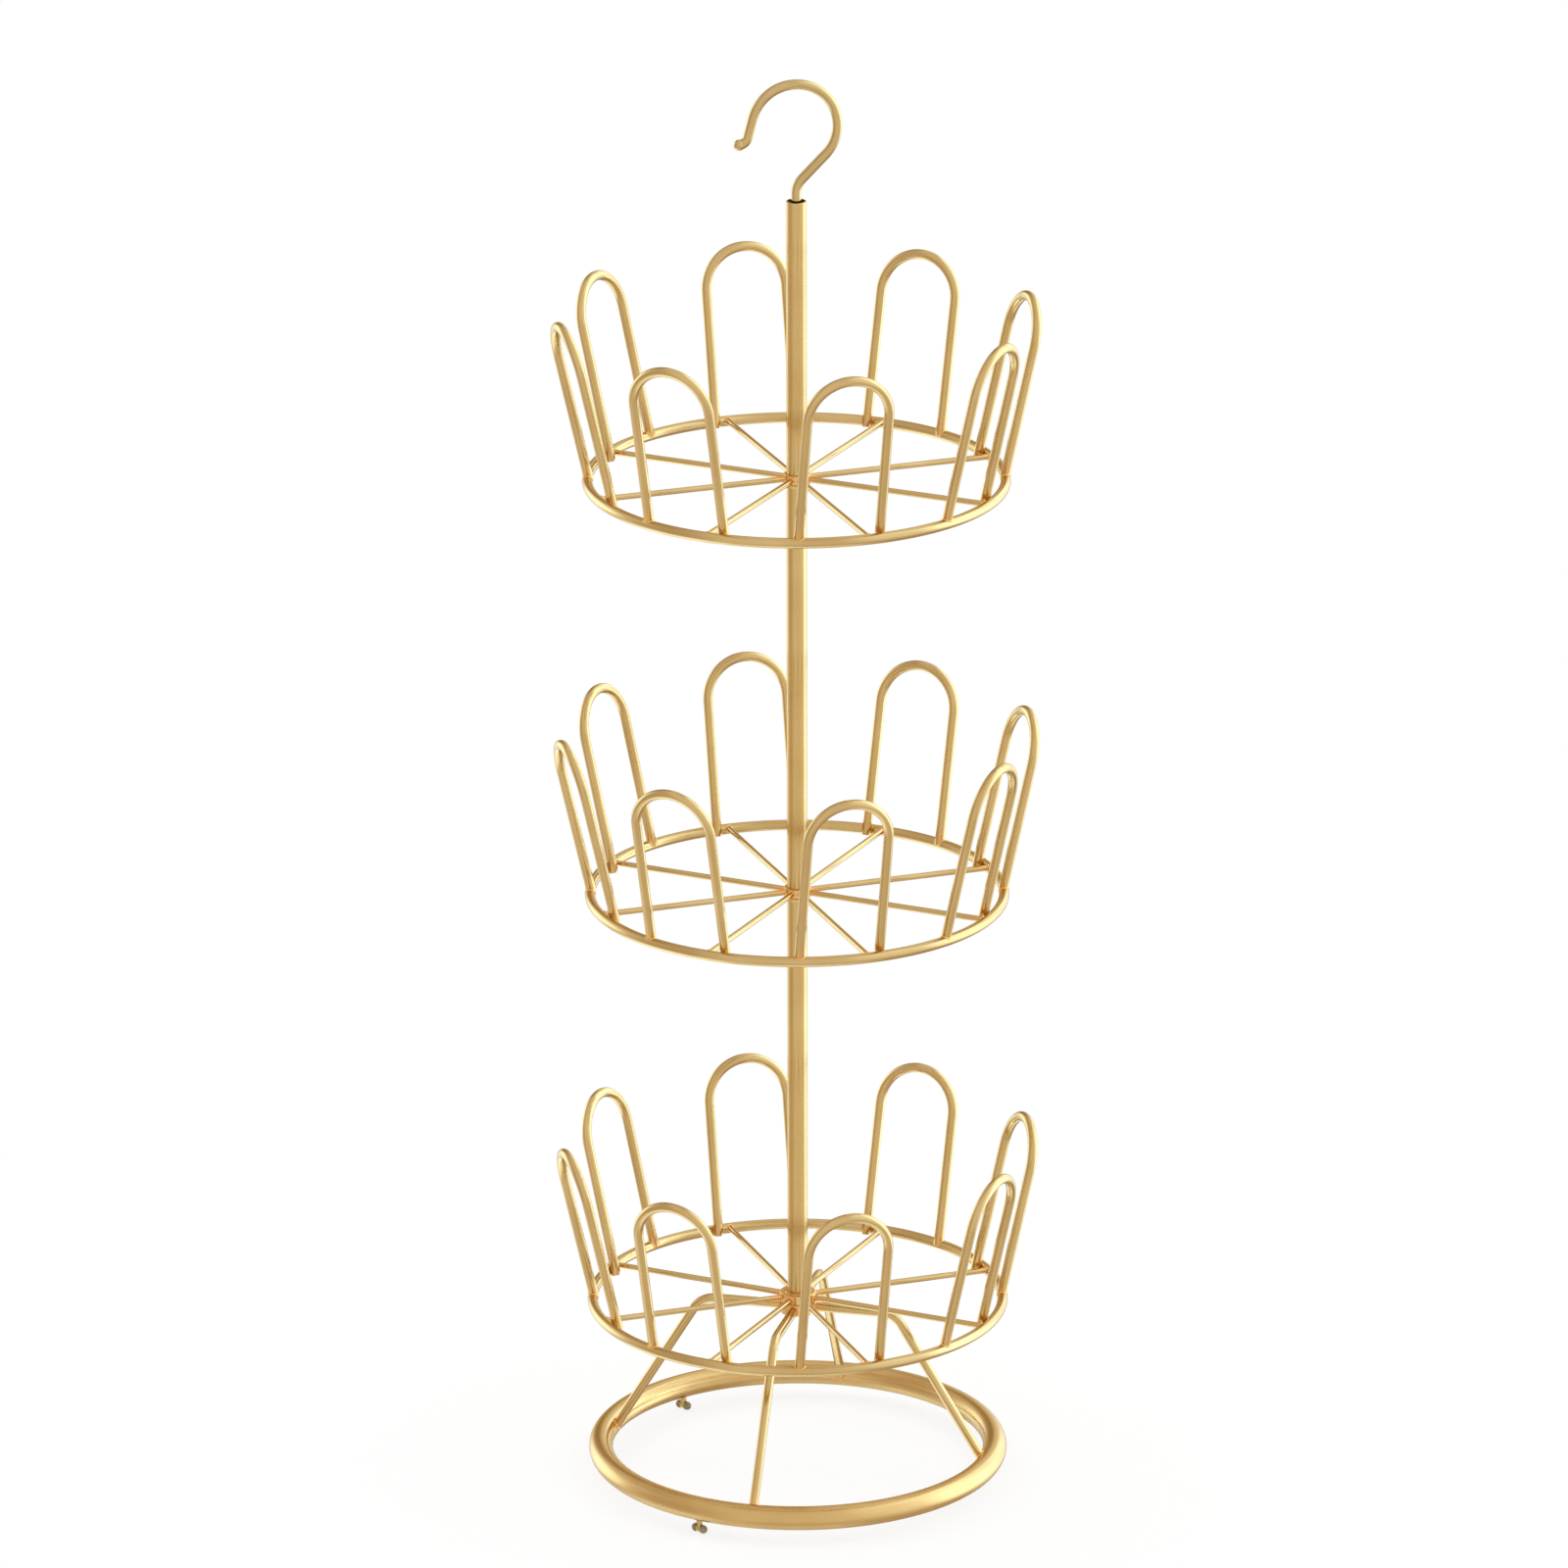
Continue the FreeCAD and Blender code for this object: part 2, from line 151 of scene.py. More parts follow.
def make_lines():
    """Drawn or polished lines: run 0 goes along the upright axis, and run 1 round it."""
    group, given, result = new_group(
        "drawn_lines",
        [("Vector", "Vector", None), ("Run", "Float", ALONG_AXIS),
         ("Lines per metre", "Float", TUBE_LINES)],
        [("Lines", "Float")],
    )
    parts = add_node(group, "ShaderNodeSeparateXYZ", {"Vector": given["Vector"]}).outputs
    flat = add_node(group, "ShaderNodeCombineXYZ", {"X": parts["X"], "Y": parts["Y"]}).outputs[0]
    reach = add_node(group, "ShaderNodeVectorMath", {0: flat}, operation="LENGTH").outputs["Value"]
    across = add_node(group, "ShaderNodeCombineXYZ", {"X": reach, "Z": parts["Z"]}).outputs[0]
    slow = add_node(group, "ShaderNodeVectorMath", {0: flat, "Scale": LINE_SHRINK},
                    operation="SCALE").outputs[0]
    round_axis = add_node(group, "ShaderNodeVectorMath", {0: across, 1: slow}).outputs[0]
    upright = add_node(group, "ShaderNodeVectorMath", {
        0: given["Vector"], 1: (1.0, 1.0, LINE_SHRINK),
    }, operation="MULTIPLY").outputs[0]
    way = add_node(group, "ShaderNodeMix", {
        0: given["Run"], 4: upright, 5: round_axis,
    }, data_type="VECTOR").outputs[1]
    lines = noise(group, way, given["Lines per metre"], 2.0)
    group.links.new(lines, result.inputs["Lines"])
    return group


skin = make_skin()
drawn_lines = make_lines()


def new_material(name, clouds=PLATE_CLOUDS):
    """A material with its Principled shader and its skin, on the piece's Object coordinates."""
    material = bpy.data.materials.new(name)
    material.use_nodes = True
    tree = material.node_tree
    tree.nodes.clear()
    shader = tree.nodes.new("ShaderNodeBsdfPrincipled")
    add_node(tree, "ShaderNodeOutputMaterial", {"Surface": shader.outputs["BSDF"]})
    place = tree.nodes.new("ShaderNodeTexCoord").outputs["Object"]
    film = add_node(tree, "ShaderNodeGroup", {"Vector": place, "Clouds per metre": clouds},
                    node_tree=skin)
    return material, tree, shader, place, film.outputs


def raise_relief(tree, shader, height, depth):
    """Fine relief of a real depth in metres."""
    bump = add_node(tree, "ShaderNodeBump", {"Height": height, "Distance": depth, "Strength": 1.0})
    tree.links.new(bump.outputs["Normal"], shader.inputs["Normal"])


def gold_plate(name, gold, roughness, run=None, lines=0.0, relief=PLATE_RELIEF):
    """Satin gold plate, with drawn or turned lines round the upright axis, along it, or none."""
    material, tree, shader, place, film = new_material(name)
    height, satin = film["Height"], film["Patches"]
    if run is not None:
        drawn = add_node(tree, "ShaderNodeGroup", {
            "Vector": place, "Run": run, "Lines per metre": lines,
        }, node_tree=drawn_lines).outputs["Lines"]
        height = reckon(tree, "ADD", height, drawn)
        satin = between(tree, reckon(tree, "ADD", satin, drawn), 0.0, 1.0, 0.0, 2.0)
    tree.links.new(blend_colours(tree, film["Clouds"], *gold), shader.inputs["Base Color"])
    tree.links.new(between(tree, satin, *roughness), shader.inputs["Roughness"])
    shader.inputs["Metallic"].default_value = 1.0
    shader.inputs["Specular Tint"].default_value = GOLD_EDGE
    raise_relief(tree, shader, height, relief)
    return material


def coat(material, *names):
    """Puts a material on the CAD nodes of those names."""
    for name in names:
        nodes[name].material_slots[0].material = material


gold_tube = gold_plate("gold_plated_ring_tube", TUBE_GOLD, TUBE_ROUGHNESS, ROUND_AXIS,
                       TUBE_LINES, TUBE_RELIEF)
coat(gold_tube, "base_ring")


# Base hub and legs: a turned steel hub with four legs of bent wire welded round its shoulder and
# down to the base ring, and all of it plated at once. Each weld is a small rippled bead along the
# seam where the wire is coped to what carries it; the plate is duller on it. Close to the ring and
# the hub the wire is painted a warmer gold, a painted reflection of the gold beside it.
TURNED_GOLD = ((0.680, 0.400, 0.140, 1.0), (0.760, 0.475, 0.186, 1.0))
TURNED_ROUGHNESS = (0.16, 0.24)
TURNED_LINES = 2500.0
WIRE_GOLD = ((0.540, 0.360, 0.142, 1.0), (0.625, 0.432, 0.188, 1.0))
WIRE_ROUGHNESS = (0.13, 0.18)
# Painted reflection: a warmer gold painted on the wire near the ring and the hub, standing in for
# the gold reflected there.
PAINTED_REFLECTION_GOLD = (0.760, 0.395, 0.125, 1.0)
PAINTED_REFLECTION_REACH = (0.003, 0.011)
RING_PAINTED_REFLECTION = 0.38
HUB_PAINTED_REFLECTION = 0.75
WELD_GOLD = ((0.780, 0.430, 0.140, 1.0), (0.860, 0.510, 0.190, 1.0))
WELD_ROUGHNESS = (0.26, 0.42)
WELD_CLOUDS = 160.0
WELD_RELIEF = 6e-6
BEAD_RADIUS = 0.00068
LEG_BEAD_RADIUS = BEAD_RADIUS * 1.1
BEAD_STEP = 0.0009
BEAD_LEAST_STEPS = 8
BEAD_ROUNDNESS = 2
RIPPLE = 0.14
SWELLS = (
    # share, turn from step to step, turn from seam to seam
    (1.0, 2.4, 1.7),
    (0.6, 0.9, 1.0),
)
SEAM_ANGLE = 0.9
SEAM_SLACK = 0.00004
SEAM_LEAST_POINTS = 4
SAME_POINT = 1e-6


def cloudy_finish(name, colours, roughness, clouds, relief):
    """A finish with clouds in its colour, patches in its polish and a fine relief."""
    material, tree, shader, place, film = new_material(name, clouds)
    tree.links.new(blend_colours(tree, film["Clouds"], *colours), shader.inputs["Base Color"])
    tree.links.new(between(tree, film["Patches"], *roughness), shader.inputs["Roughness"])
    raise_relief(tree, shader, film["Height"], relief)
    return material, shader


def seams_on(node, distance):
    """The closed seams of a CAD node on its carrier; distance says how far off a point is."""
    mesh = bmesh.new()
    mesh.from_mesh(nodes[node].data)
    bmesh.ops.remove_doubles(mesh, verts=mesh.verts, dist=SAME_POINT)
    beyond = {}
    for edge in mesh.edges:
        sharp = len(edge.link_faces) == 2 and edge.calc_face_angle(0.0) > SEAM_ANGLE
        if sharp and all(abs(distance(end.co)) < SEAM_SLACK for end in edge.verts):
            first, second = edge.verts
            beyond.setdefault(first, []).append(second)
            beyond.setdefault(second, []).append(first)
    seams = []
    while beyond:
        here = next(iter(beyond))
        seam = []
        while here is not None:
            seam.append(here.co.copy())
            near = beyond.pop(here)
            here = next((other for other in near if other in beyond), None)
        if len(seam) >= SEAM_LEAST_POINTS:
            seams.append(seam)
    mesh.free()
    return seams


def evenly(seam):
    """Points a bead's step apart along a closed seam."""
    ends = seam[1:] + seam[:1]
    runs = [(end - start).length for start, end in zip(seam, ends)]
    count = max(BEAD_LEAST_STEPS, round(sum(runs) / BEAD_STEP))
    gap = sum(runs) / count
    points, left = [], 0.0
    for start, end, run in zip(seam, ends, runs):
        while left < run and len(points) < count:
            points.append(start.lerp(end, left / run))
            left += gap
        left -= run
    return points


def lay_beads(name, seams, body, radius):
    """One piece of all the weld beads on a body, each a rippled bead along its seam."""
    line = bpy.data.curves.new(name, "CURVE")
    line.dimensions = "3D"
    line.bevel_depth = radius
    line.bevel_resolution = BEAD_ROUNDNESS
    for number, seam in enumerate(seams):
        points = evenly(seam)
        spline = line.splines.new("POLY")
        spline.points.add(len(points) - 1)
        spline.use_cyclic_u = True
        for step, (point, at) in enumerate(zip(spline.points, points)):
            point.co = (*at, 1.0)
            swell = sum(share * math.sin(by_step * step + by_seam * number)
                        for share, by_step, by_seam in SWELLS)
            point.radius = 1.0 + RIPPLE * swell
    laid = bpy.data.objects.new(name + "_line", line)
    bead = bpy.data.objects.new(name, bpy.data.meshes.new_from_object(laid))
    bpy.data.objects.remove(laid)
    bpy.context.scene.collection.objects.link(bead)
    bead.data.shade_smooth()
    bead.data.materials.clear()
    bead.data.materials.append(gold_weld)
    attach(bead, body)


def ring_line(ring):
    """The radius and height of the line inside a ring, and the radius of its wire or tube."""
    low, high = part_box(ring)
    wire = (high.z - low.z) / 2
    return high.x - wire, (high.z + low.z) / 2, wire


def off_ring(ring):
    """How far a point is from the surface of a wire or tube ring round the upright axis."""
    round_to, middle, wire = ring_line(ring)
    return lambda point: math.hypot(point.xy.length - round_to, point.z - middle) - wire


def hub_radius(hub):
    """The radius of a turned hub on the upright axis."""
    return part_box(hub)[1].x


def off_hub(hub):
    """How far a point is from the round outside of a hub."""
    radius = hub_radius(hub)
    return lambda point: point.xy.length - radius


def flat_length(tree, side, other_side):
    """The length of a flat vector with those two sides."""
    flat = add_node(tree, "ShaderNodeCombineXYZ", {"X": side, "Y": other_side}).outputs[0]
    return add_node(tree, "ShaderNodeVectorMath", {0: flat}, operation="LENGTH").outputs["Value"]


def make_painted_reflection():
    """Painted reflection: how much warmer gold is painted on by nearness to a ring and to a hub on
    the upright axis.
    """
    group, given, result = new_group(
        "joint_painted_reflection",
        [("Vector", "Vector", None), ("Ring radius", "Float", 0.0), ("Ring height", "Float", 0.0),
         ("Ring wire", "Float", 0.0), ("Hub radius", "Float", 0.0)],
        [("Painted reflection", "Float")],
    )
    parts = add_node(group, "ShaderNodeSeparateXYZ", {"Vector": given["Vector"]}).outputs
    reach = flat_length(group, parts["X"], parts["Y"])
    outward = reckon(group, "SUBTRACT", reach, given["Ring radius"])
    upward = reckon(group, "SUBTRACT", parts["Z"], given["Ring height"])
    off_wire = reckon(group, "SUBTRACT", flat_length(group, outward, upward), given["Ring wire"])
    off_barrel = reckon(group, "SUBTRACT", reach, given["Hub radius"])
    # Painted reflection: the warmer gold is fullest at the ring's and the hub's surface and fades
    # out by about a centimetre.
    by_ring = between(group, off_wire, RING_PAINTED_REFLECTION, 0.0, *PAINTED_REFLECTION_REACH)
    by_hub = between(group, off_barrel, HUB_PAINTED_REFLECTION, 0.0, *PAINTED_REFLECTION_REACH)
    group.links.new(reckon(group, "MAXIMUM", by_ring, by_hub), result.inputs["Painted reflection"])
    return group


joint_painted_reflection = make_painted_reflection()


def welded_wire(name, ring, hub):
    """Gold-plated wire that is welded to a ring and a hub, with a warmer gold painted close to both
    as a painted reflection of them.
    """
    material = gold_plate(name, WIRE_GOLD, WIRE_ROUGHNESS)
    tree = material.node_tree
    base_colour = tree.nodes["Principled BSDF"].inputs["Base Color"]
    round_to, middle, wire = ring_line(ring)
    painted_reflection = add_node(tree, "ShaderNodeGroup", {
        "Vector": tree.nodes["Texture Coordinate"].outputs["Object"],
        "Ring radius": round_to,
        "Ring height": middle,
        "Ring wire": wire,
        "Hub radius": hub_radius(hub),
    }, node_tree=joint_painted_reflection).outputs["Painted reflection"]
    plain = base_colour.links[0].from_socket
    # Painted reflection: the plain gold goes over into the warmer painted gold near the joints.
    tree.links.new(blend_colours(tree, painted_reflection, plain, PAINTED_REFLECTION_GOLD), base_colour)
    return material


gold_weld, weld_shader = cloudy_finish("gold_plated_weld", WELD_GOLD, WELD_ROUGHNESS,
                                       WELD_CLOUDS, WELD_RELIEF)
weld_shader.inputs["Metallic"].default_value = 1.0
weld_shader.inputs["Specular Tint"].default_value = GOLD_EDGE
gold_turned = gold_plate("gold_plated_turning", TURNED_GOLD, TURNED_ROUGHNESS, ROUND_AXIS,
                         TURNED_LINES)
base_legs = sorted(name for name in nodes if name.startswith("base_leg_"))
coat(welded_wire("gold_plated_leg_wire", "base_ring", "base_hub"), *base_legs)
coat(gold_turned, "base_hub")
leg_seams = []
for leg in base_legs:
    leg_seams += seams_on(leg, off_ring("base_ring"))
    leg_seams += seams_on(leg, off_hub("base_hub"))
lay_beads("base_welds", leg_seams, "stand", LEG_BEAD_RADIUS)


# Feet: three short bars of plated wire pressed up into the base ring, with a round-ended tip of
# brown rubber moulded on each end. The rubber is matt, a little bloomed, and scuffed by the floor.
RUBBER_COLOURS = ((0.275, 0.210, 0.100, 1.0), (0.380, 0.300, 0.155, 1.0))
RUBBER_ROUGHNESS = (0.42, 0.62)
RUBBER_CLOUDS = 240.0
RUBBER_RELIEF = 6e-6
SCUFF_COLOUR = (0.450, 0.395, 0.265, 1.0)
SCUFF_SHARE = 0.8
SCUFF_HEIGHT = 0.0014


def moulded_rubber():
    """Matt brown rubber, paler where it has bloomed and been scuffed near the floor."""
    material, tree, shader, place, film = new_material("moulded_rubber", RUBBER_CLOUDS)
    body = blend_colours(tree, film["Clouds"], *RUBBER_COLOURS)
    height = add_node(tree, "ShaderNodeSeparateXYZ", {"Vector": place}).outputs["Z"]
    low_down = between(tree, height, SCUFF_SHARE, 0.0, 0.0, SCUFF_HEIGHT)
    scuff = reckon(tree, "MULTIPLY", low_down, film["Patches"])
    tree.links.new(blend_colours(tree, scuff, body, SCUFF_COLOUR), shader.inputs["Base Color"])
    tree.links.new(between(tree, film["Patches"], *RUBBER_ROUGHNESS), shader.inputs["Roughness"])
    raise_relief(tree, shader, film["Height"], RUBBER_RELIEF)
    return material


gold_foot_wire = gold_plate("gold_plated_foot_wire", WIRE_GOLD, WIRE_ROUGHNESS)
coat(gold_foot_wire, "base_foot_1", "base_foot_2", "base_foot_3")
coat(moulded_rubber(), "base_foot_tips")


# Base screw and washer: a zinc-plated screw up through the base hub, which pulls the pole's end
# plug down on the hub. The zinc is pale and cold, and a little patchy in colour and in polish.
ZINC_COLOURS = ((0.47, 0.49, 0.51, 1.0), (0.62, 0.63, 0.64, 1.0))
ZINC_ROUGHNESS = (0.24, 0.40)
ZINC_CLOUDS = 300.0
ZINC_RELIEF = 2e-6

zinc_plate, zinc_shader = cloudy_finish("zinc_plate", ZINC_COLOURS, ZINC_ROUGHNESS, ZINC_CLOUDS,
                                        ZINC_RELIEF)
zinc_shader.inputs["Metallic"].default_value = 1.0
coat(zinc_plate, "base_screw", "base_screw_washer")


# Pole: three lengths of drawn tube, polished along their length before plating, on turned joint
# pieces that carry the middle and the upper tray. Dark moulded plugs close its two ends.
POLE_GOLD = ((0.548, 0.355, 0.128, 1.0), (0.632, 0.425, 0.170, 1.0))
POLE_ROUGHNESS = (0.13, 0.19)
POLE_LINES = 900.0
DARK_NYLON = ((0.012, 0.012, 0.013, 1.0), (0.024, 0.023, 0.022, 1.0))
DARK_ROUGHNESS = (0.38, 0.55)
NYLON_CLOUDS = 150.0
NYLON_RELIEF = 5e-6


def moulded_nylon(name, colours, roughness):
    """Moulded nylon with a faint sheen and a fine matt grain."""
    return cloudy_finish(name, colours, roughness, NYLON_CLOUDS, NYLON_RELIEF)[0]


gold_pole = gold_plate("gold_plated_pole_tube", POLE_GOLD, POLE_ROUGHNESS, ALONG_AXIS, POLE_LINES)
coat(gold_pole, "pole_lower_section", "pole_middle_section", "pole_upper_section")
coat(gold_turned, "pole_joint_middle", "pole_joint_upper")
coat(moulded_nylon("dark_nylon", DARK_NYLON, DARK_ROUGHNESS), "pole_end_plug", "hook_plug")


# Hook: one length of round wire bent to a stem, a sloping shank and most of a circle, its nose
# turned out and ended in a small ball. It is plated on its own, a shade darker than the rest.
HOOK_GOLD = ((0.455, 0.305, 0.120, 1.0), (0.600, 0.420, 0.186, 1.0))

coat(gold_plate("gold_plated_hook_wire", HOOK_GOLD, WIRE_ROUGHNESS), "hook")


# Trays: three alike, each a wire ring on eight spokes with eight shoe loops standing round it,
# welded at every joint and plated. The hub turns on a washer of amber nylon that lies on the
# flange below it.
AMBER_NYLON = ((0.66, 0.42, 0.140, 1.0), (0.76, 0.51, 0.190, 1.0))
AMBER_ROUGHNESS = (0.35, 0.5)
RING_LINES = 900.0
LOOPS = 8

washer_nylon = moulded_nylon("amber_nylon", AMBER_NYLON, AMBER_ROUGHNESS)
gold_ring_wire = gold_plate("gold_plated_ring_wire", WIRE_GOLD, WIRE_ROUGHNESS, ROUND_AXIS,
                            RING_LINES)
for tier in ("lower", "middle", "upper"):
    tray = tier + "_tray"
    ring, hub, spokes = tray + "_ring", tray + "_hub", tray + "_spokes"
    gold_tray_wire = welded_wire(f"gold_plated_{tray}_wire", ring, hub)
    coat(washer_nylon, tier + "_bearing_washer")
    coat(gold_turned, hub)
    coat(gold_ring_wire, ring)
    coat(gold_tray_wire, spokes)
    tray_seams = seams_on(spokes, off_ring(ring)) + seams_on(spokes, off_hub(hub))
    for number in range(1, LOOPS + 1):
        loop = f"{tray}_loop_{number}"
        coat(gold_tray_wire, loop)
        tray_seams += seams_on(loop, off_ring(ring))
    lay_beads(tray + "_welds", tray_seams, tray, BEAD_RADIUS)


# Floor: a plain pale sheet that keeps the tower's soft shadow near it and goes over into the
# white background. The base ring shows it from close above, and the rest shows the studio.
FLOOR_SIZE = 30.0
FLOOR_DROP = 0.0002
FLOOR_WHITE = (0.90, 0.90, 0.89, 1.0)
FLOOR_LIFT = 0.2
SHADOW_SHARE = 0.22
SHADOW_FADE = (0.25, 0.85)
UNDER_RING = (0.010, 0.030)
UNDER_RING_CLEAR = 0.4
WHITE = (1.0, 1.0, 1.0, 1.0)

floor_mesh = bmesh.new()
bmesh.ops.create_grid(floor_mesh, x_segments=1, y_segments=1, size=FLOOR_SIZE,
                      matrix=Matrix.Translation((0.0, 0.0, -FLOOR_DROP)))
floor = bpy.data.objects.new("floor", bpy.data.meshes.new("floor"))
floor_mesh.to_mesh(floor.data)
floor_mesh.free()
bpy.context.scene.collection.objects.link(floor)
paper = bpy.data.materials.new("floor_paper")
paper.use_nodes = True
tree = paper.node_tree
tree.nodes.clear()
at = tree.nodes.new("ShaderNodeTexCoord").outputs["Object"]
rays = tree.nodes.new("ShaderNodeLightPath").outputs
underside = tree.nodes.new("ShaderNodeNewGeometry").outputs["Backfacing"]
lit = add_node(tree, "ShaderNodeBsdfDiffuse", {"Color": FLOOR_WHITE}).outputs[0]
clear = tree.nodes.new("ShaderNodeBsdfTransparent").outputs[0]
away = add_node(tree, "ShaderNodeVectorMath", {0: at}, operation="LENGTH").outputs["Value"]
share = between(tree, away, SHADOW_SHARE, 0.0, *SHADOW_FADE)
glow = add_node(tree, "ShaderNodeEmission", {
    "Color": WHITE, "Strength": between(tree, share, 1.0, 1.0 + FLOOR_LIFT),
}).outputs[0]
seen = reckon(tree, "SUBTRACT", 1.0, share)
whitened = add_node(tree, "ShaderNodeMixShader", {
    0: reckon(tree, "MULTIPLY", seen, rays["Is Camera Ray"]), 1: lit, 2: glow,
}).outputs[0]
passing = reckon(tree, "MAXIMUM", rays["Is Glossy Ray"], rays["Is Transmission Ray"])
off_line = reckon(tree, "ABSOLUTE", reckon(tree, "SUBTRACT", away, ring_line("base_ring")[0]))
under_ring = between(tree, off_line, UNDER_RING_CLEAR, 1.0, *UNDER_RING)
passing = reckon(tree, "MULTIPLY", passing, under_ring)
passing = reckon(tree, "MAXIMUM", passing, underside)
shown = add_node(tree, "ShaderNodeMixShader", {0: passing, 1: whitened, 2: clear}).outputs[0]
add_node(tree, "ShaderNodeOutputMaterial", {"Surface": shown})
floor.data.materials.append(paper)


# Studio: an even white room, with the soft boxes, flags and pale corners that the polished gold
# shows, laid out in degrees from the front. Two soft lamps give the floor its shadow.
FRONT = math.radians(-12.1)
ROOM_GREY = (0.80, 0.80, 0.80, 1.0)
MIRROR_LEVEL = 1.03
MIRROR_TINT = {"Red": 0.75, "Green": 1.0, "Blue": 1.2}
PATCHES = (
    # azimuth, elevation, half width, half height, softness, level
    (0.0, 90.0, 400.0, 30.0, 0.6, 0.96),
    (0.0, -90.0, 400.0, 22.0, 0.6, 1.85),
    (12.0, -42.0, 58.0, 14.0, 0.6, 0.84),
    (-72.0, 0.0, 28.0, 42.0, 0.6, 0.69),
    (-115.0, 47.0, 50.0, 14.0, 0.5, 0.70),
    (98.0, 48.0, 48.0, 24.0, 0.5, 1.70),
    (56.0, 26.0, 20.0, 36.0, 0.6, 1.40),
    (127.0, -5.0, 35.0, 36.0, 0.5, 1.95),
    (114.0, -54.0, 60.0, 19.0, 0.5, 0.56),
    (-126.0, -54.0, 62.0, 16.0, 0.5, 2.20),
    (-152.0, -14.0, 18.0, 20.0, 0.5, 1.60),
    (150.0, 17.0, 11.0, 16.0, 0.5, 2.30),
    (127.0, 43.0, 20.0, 12.0, 0.5, 2.40),
    (-129.0, 1.0, 20.0, 20.0, 0.5, 2.45),
    (105.0, 7.0, 29.0, 36.0, 0.4, 2.80),
    (-163.0, 27.0, 13.0, 26.0, 0.5, 0.46),
    (167.0, -34.0, 13.0, 18.0, 0.5, 0.28),
    (-174.0, -20.0, 10.0, 10.0, 0.6, 0.50),
)
GOLD_CARD = (-172.0, 2.0, 13.0, 30.0, 0.6)
GOLD_CARD_COLOUR = (0.72, 0.62, 0.30, 1.0)
LAMPS = (
    # name, azimuth, elevation, distance, size, watts
    ("left_soft_lamp", -115.0, 42.0, 3.0, 1.8, 14.0),
    ("right_soft_lamp", 80.0, 48.0, 3.0, 1.8, 14.0),
)


def make_patch():
    """One soft-edged oval patch laid over the room's light."""
    group, given, result = new_group(
        "studio_patch",
        [("Under", "Float", 1.0), ("Azimuth", "Float", 0.0), ("Elevation", "Float", 0.0),
         ("Middle azimuth", "Float", 0.0), ("Middle elevation", "Float", 0.0),
         ("Half width", "Float", 20.0), ("Half height", "Float", 20.0),
         ("Softness", "Float", 0.5), ("Level", "Float", 1.0)],
        [("Level", "Float")],
    )
    turned = reckon(group, "SUBTRACT", given["Azimuth"], given["Middle azimuth"])
    turned = add_node(group, "ShaderNodeMath", {0: turned, 1: 180.0, 2: -180.0},
                      operation="WRAP").outputs[0]
    raised = reckon(group, "SUBTRACT", given["Elevation"], given["Middle elevation"])
    wide = reckon(group, "DIVIDE", turned, given["Half width"])
    high = reckon(group, "DIVIDE", raised, given["Half height"])
    mask = add_node(group, "ShaderNodeMapRange", {
        "Value": flat_length(group, wide, high),
        "From Min": reckon(group, "ADD", 1.0, given["Softness"]),
        "From Max": reckon(group, "SUBTRACT", 1.0, given["Softness"]),
    }, interpolation_type="SMOOTHSTEP").outputs["Result"]
    laid = add_node(group, "ShaderNodeMix", {0: mask, 2: given["Under"], 3: given["Level"]})
    group.links.new(laid.outputs[0], result.inputs["Level"])
    return group


studio_patch = make_patch()
room = bpy.data.worlds.new("studio_room")
bpy.context.scene.world = room
room.use_nodes = True
room.cycles.sampling_method = "NONE"
tree = room.node_tree
tree.nodes.clear()
rays = tree.nodes.new("ShaderNodeLightPath").outputs
way = tree.nodes.new("ShaderNodeTexCoord").outputs["Generated"]
from_front = add_node(tree, "ShaderNodeVectorRotate", {"Vector": way, "Angle": -FRONT},
                      rotation_type="Z_AXIS").outputs[0]
parts = add_node(tree, "ShaderNodeSeparateXYZ", {"Vector": from_front}).outputs
azimuth = reckon(tree, "ARCTAN2", parts["X"], reckon(tree, "MULTIPLY", parts["Y"], -1.0))
azimuth = reckon(tree, "DEGREES", azimuth)
elevation = reckon(tree, "DEGREES", reckon(tree, "ARCSINE", parts["Z"]))


def add_patch(middle, height, half_width, half_height, softness, level, under):
    """Lays one patch over the light that comes from under it."""
    return add_node(tree, "ShaderNodeGroup", {
        "Under": under,
        "Azimuth": azimuth,
        "Elevation": elevation,
        "Middle azimuth": middle,
        "Middle elevation": height,
        "Half width": half_width,
        "Half height": half_height,
        "Softness": softness,
        "Level": level,
    }, node_tree=studio_patch).outputs["Level"]


mirrored_level = MIRROR_LEVEL
for patch in PATCHES:
    mirrored_level = add_patch(*patch, mirrored_level)
channels = {channel: reckon(tree, "POWER", mirrored_level, power)
            for channel, power in MIRROR_TINT.items()}
boxes = add_node(tree, "ShaderNodeCombineColor", channels).outputs[0]
card = blend_colours(tree, add_patch(*GOLD_CARD, 1.0, 0.0), WHITE, GOLD_CARD_COLOUR)
boxes = add_node(tree, "ShaderNodeVectorMath", {0: boxes, 1: card}, operation="MULTIPLY").outputs[0]
mirrored = reckon(tree, "MAXIMUM", rays["Is Glossy Ray"], rays["Is Transmission Ray"])
shown = blend_colours(tree, mirrored, ROOM_GREY, boxes)
shown = blend_colours(tree, rays["Is Camera Ray"], shown, WHITE)
light = add_node(tree, "ShaderNodeBackground", {"Color": shown, "Strength": 1.0}).outputs[0]
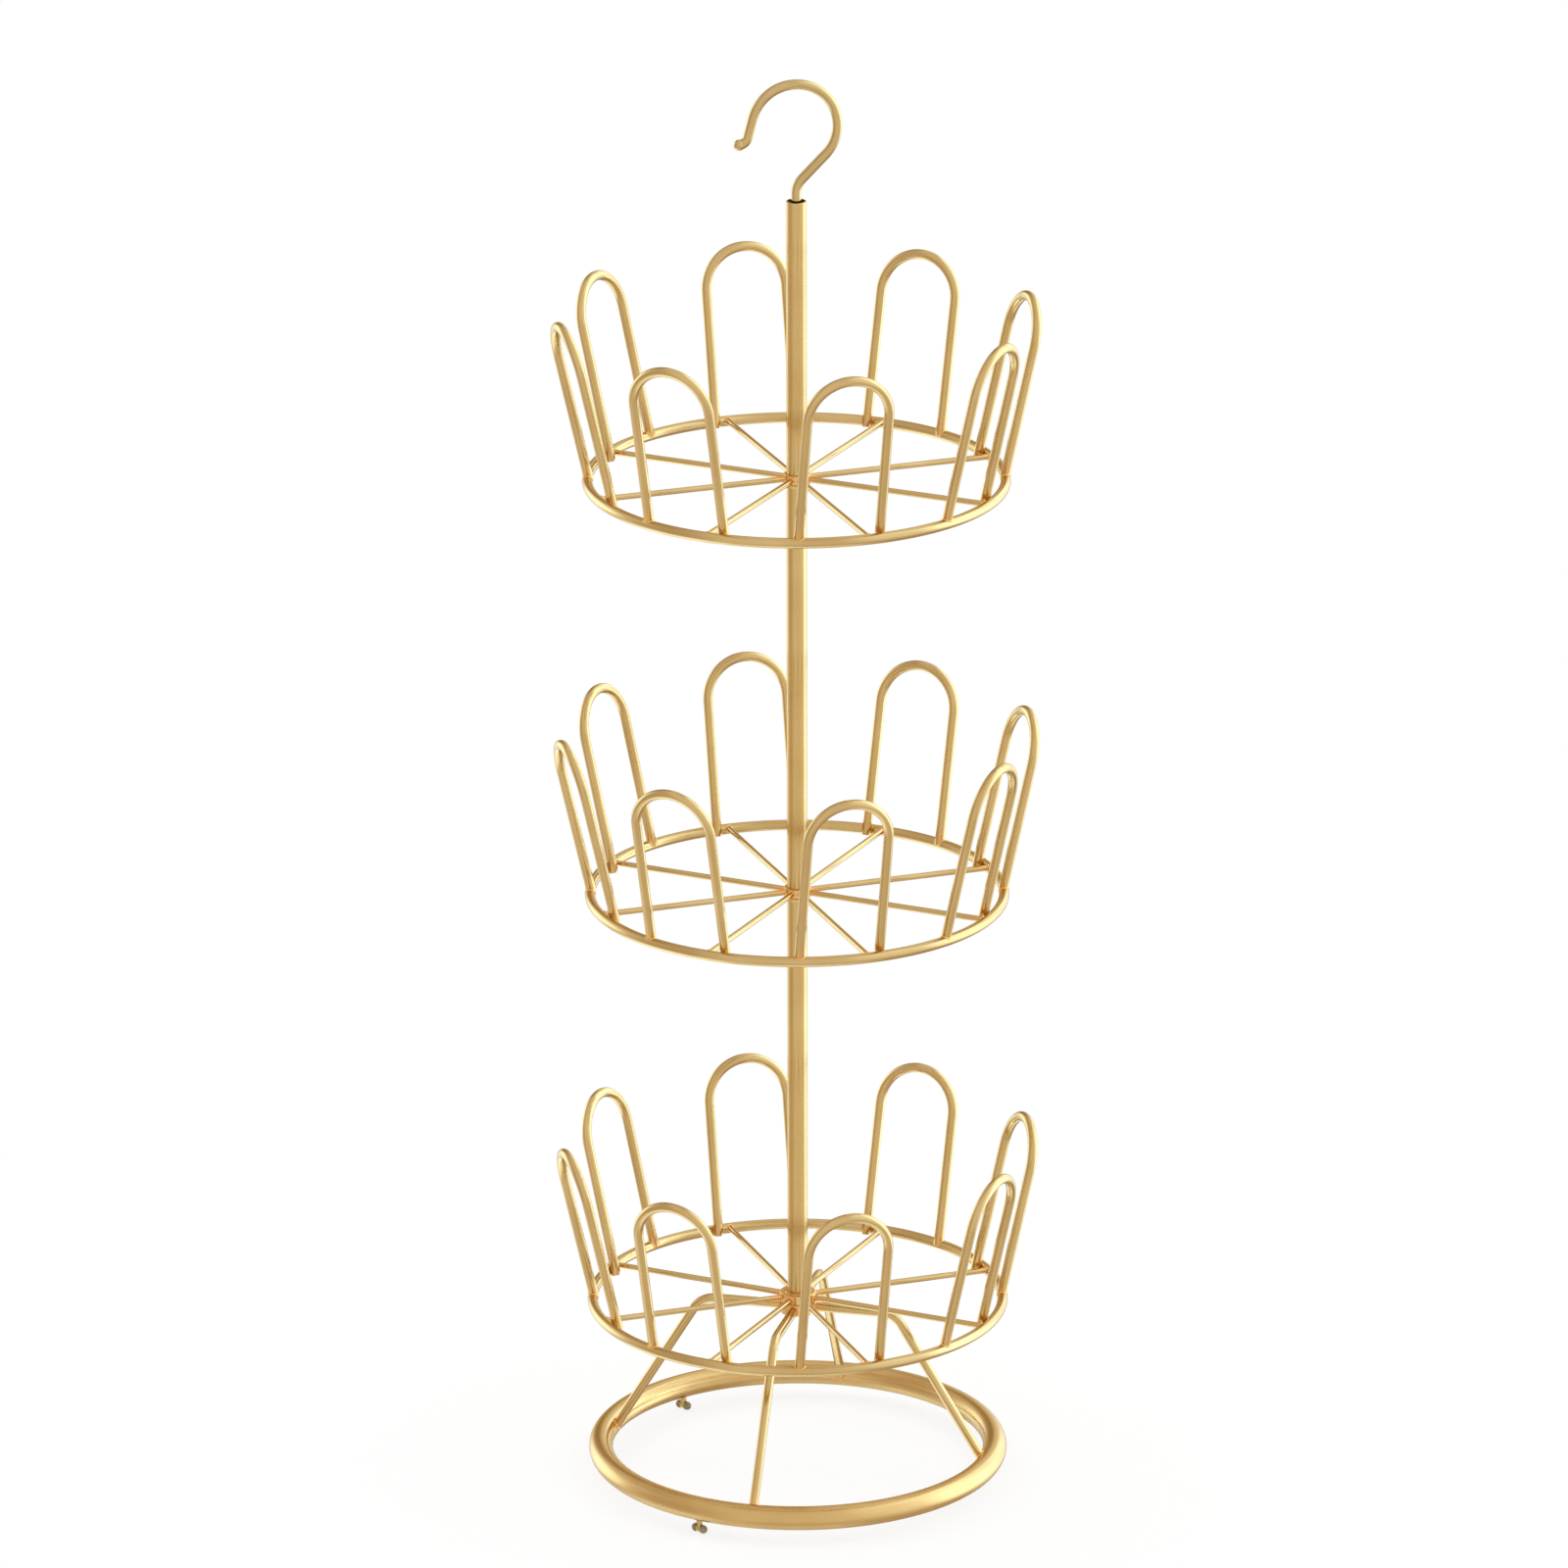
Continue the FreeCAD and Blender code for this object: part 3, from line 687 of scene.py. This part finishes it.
add_node(tree, "ShaderNodeOutputWorld", {"Surface": light})


def direction(azimuth_degrees, elevation_degrees):
    """The direction at an azimuth from the front, positive to its right, and an elevation."""
    around = FRONT + math.radians(azimuth_degrees)
    up = math.radians(elevation_degrees)
    return Vector((math.sin(around) * math.cos(up), -math.cos(around) * math.cos(up), math.sin(up)))


tower_middle = (cad_low + cad_high) / 2
for name, lamp_azimuth, lamp_elevation, distance, size, watts in LAMPS:
    lamp = bpy.data.objects.new(name, bpy.data.lights.new(name, "AREA"))
    lamp.data.shape = "DISK"
    lamp.data.size = size
    lamp.data.energy = watts
    lamp.visible_glossy = False
    towards = direction(lamp_azimuth, lamp_elevation)
    lamp.location = tower_middle + towards * distance
    lamp.rotation_euler = (-towards).to_track_quat("-Z", "Y").to_euler()
    bpy.context.scene.collection.objects.link(lamp)


# Camera: a long lens in front of the tower and well above it, which looks down at 19 degrees. It
# is level but for a hair of roll, and its aim is a little to the left of the pole.
CAMERA_ELEVATION = 18.88
CAMERA_DISTANCE = 8.804
CAMERA_ROLL = math.radians(-0.095)
CAMERA_REACH = 100.0
AIM_HEIGHT = 0.50255
AIM_LEFT = 0.0089
SENSOR_WIDTH = 36.0
LENS = 295.57

on_axis = Vector((0.0, 0.0, AIM_HEIGHT))
camera = bpy.data.objects.new("camera", bpy.data.cameras.new("camera"))
camera.data.sensor_width = SENSOR_WIDTH
camera.data.lens = LENS
camera.data.clip_end = CAMERA_REACH
camera.location = on_axis + direction(0.0, CAMERA_ELEVATION) * CAMERA_DISTANCE
aim = on_axis - direction(90.0, 0.0) * AIM_LEFT
camera.rotation_mode = "QUATERNION"
unrolled = (aim - camera.location).to_track_quat("-Z", "Y")
camera.rotation_quaternion = unrolled @ Matrix.Rotation(CAMERA_ROLL, 3, "Z").to_quaternion()
bpy.context.scene.collection.objects.link(camera)
bpy.context.scene.camera = camera
bpy.context.scene.view_settings.view_transform = "Standard"


# Sizes: the view layer is brought up to date at the end.
bpy.context.view_layer.update()
